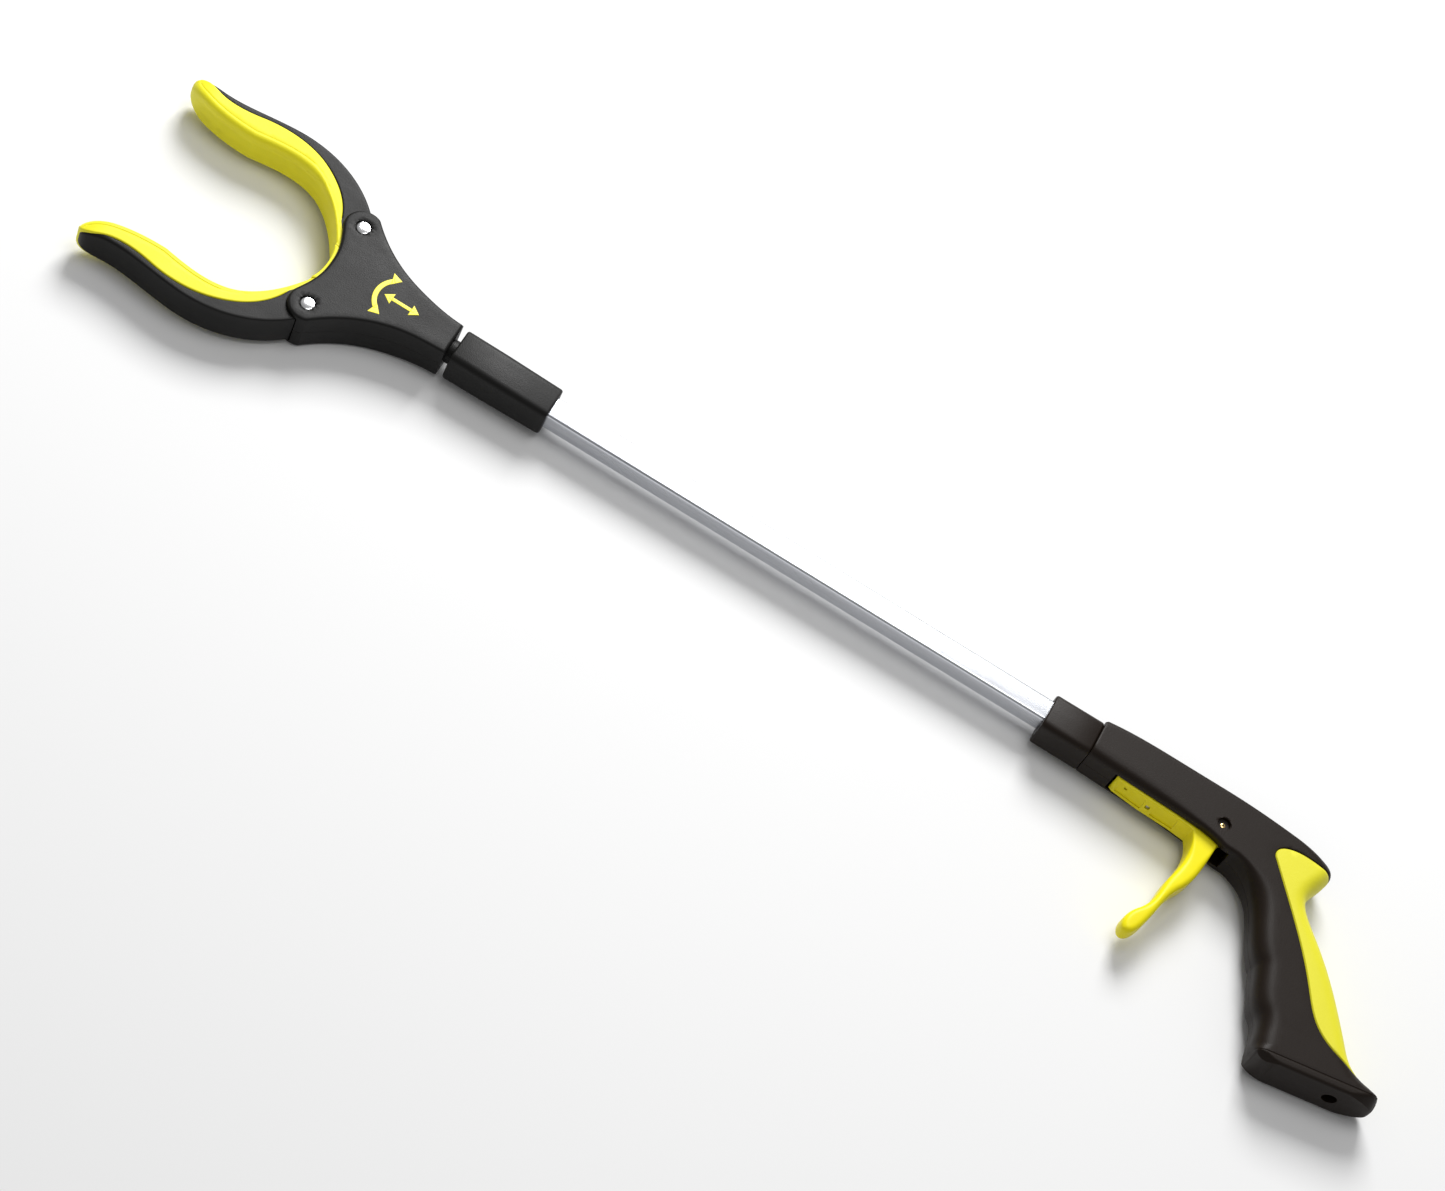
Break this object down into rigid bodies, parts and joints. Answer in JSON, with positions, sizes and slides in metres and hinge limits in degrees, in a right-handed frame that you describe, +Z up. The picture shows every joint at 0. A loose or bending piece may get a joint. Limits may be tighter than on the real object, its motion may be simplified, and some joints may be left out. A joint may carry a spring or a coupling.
{
  "type": "reacher grabber",
  "caption": "Hand-held reaching tool: a squeeze trigger pulls a rod down a long tube and closes two padded jaws on a turning head.",
  "frame": {"origin": "centre of the bounding box at the side that the tool lies on", "axes": "+X along the tube from the jaws to the grip, +Y towards the tool's top edge, +Z up from the side it lies on"},
  "size_m": [0.76, 0.1704, 0.025],
  "materials": {
    "handle_plastic": "fine moulded grain",
    "head_plastic": "satin moulded",
    "soft_grip": "soft matt",
    "yellow_rubber": "soft satin",
    "yellow_plastic": "satin moulded",
    "mark_yellow": "pad printed",
    "aluminium": "bright drawn",
    "steel": "plain",
    "bright_steel": "polished",
    "brass": "turned",
    "nylon": "natural"
  },
  "bodies": {
    "root": {"handle_shell_left": "handle_plastic", "handle_shell_right": "handle_plastic", "thumb_rest": "soft_grip", "grip_foot": "handle_plastic", "rear_collar": "handle_plastic", "handle_screws": "steel", "trigger_pin": "brass", "guide_roller_pin": "steel", "tube": "aluminium", "front_rod_bush": "nylon", "rear_rod_bush": "nylon", "front_collar": "head_plastic", "lock_spring": "steel", "pull_cable": "steel"},
    "trigger": {"trigger": "yellow_plastic", "cable_nipple": "steel"},
    "roller": {"guide_roller": "nylon"},
    "rod": {"pull_rod": "steel", "cable_ferrule": "aluminium", "rod_button": "steel"},
    "sleeve": {"thrust_washer": "steel"},
    "head": {"swivel_stem": "head_plastic", "retaining_ring": "steel", "head_shell_left": "head_plastic", "head_shell_right": "head_plastic", "head_screws": "steel", "jaw_pins": "bright_steel", "throat_liner": "yellow_rubber", "turn_arrows": "mark_yellow", "push_arrows": "mark_yellow", "return_spring": "steel"},
    "crosshead": {"crosshead": "nylon", "crosshead_pin": "steel"},
    "upper_jaw": {"jaw_upper": "head_plastic", "jaw_pad_upper": "yellow_rubber"},
    "lower_jaw": {"jaw_lower": "head_plastic", "jaw_pad_lower": "yellow_rubber"}
  },
  "joints": [
    {"name": "trigger_pivot", "type": "hinge", "parent": "root", "child": "trigger", "pos_m": [0.253, 0.01735, 0.0125], "axis": [0, 0, 1], "range_deg": [0, 24], "stiffness_Nm_per_rad": 0.5, "springref_deg": -11.46, "deforming": ["pull_cable", "return_spring"]},
    {"name": "rod_slide", "type": "slide", "parent": "root", "child": "rod", "axis": [1, 0, 0], "range_m": [0, 0.015]},
    {"name": "roller_spin", "type": "hinge", "parent": "root", "child": "roller", "pos_m": [0.212, 0.01985, 0.0125], "axis": [0, 0, 1], "range_deg": [-172, 0]},
    {"name": "head_push", "type": "slide", "parent": "root", "child": "sleeve", "axis": [1, 0, 0], "range_m": [0, 0.003], "stiffness_N_per_m": 900, "springref_m": -0.006, "deforming": ["lock_spring"]},
    {"name": "head_turn", "type": "hinge", "parent": "sleeve", "child": "head", "pos_m": [-0.1937, 0.02485, 0.0125], "axis": [1, 0, 0], "range_deg": [-90, 90]},
    {"name": "crosshead_slide", "type": "slide", "parent": "head", "child": "crosshead", "axis": [1, 0, 0], "range_m": [0, 0.015]},
    {"name": "jaw_upper_pivot", "type": "hinge", "parent": "head", "child": "upper_jaw", "pos_m": [-0.266, 0.05285, 0.0125], "axis": [0, 0, 1], "range_deg": [0, 25]},
    {"name": "jaw_lower_pivot", "type": "hinge", "parent": "head", "child": "lower_jaw", "pos_m": [-0.266, -0.00315, 0.0125], "axis": [0, 0, 1], "range_deg": [-25, 0]}
  ],
  "couplings": [
    {"joint": "rod_slide", "follows": "trigger_pivot", "m_per_rad": 0.03581},
    {"joint": "roller_spin", "follows": "trigger_pivot", "ratio": -7.162},
    {"joint": "crosshead_slide", "follows": "trigger_pivot", "m_per_rad": 0.03581},
    {"joint": "jaw_upper_pivot", "follows": "trigger_pivot", "ratio": 1.0417},
    {"joint": "jaw_lower_pivot", "follows": "trigger_pivot", "ratio": -1.0417}
  ]
}
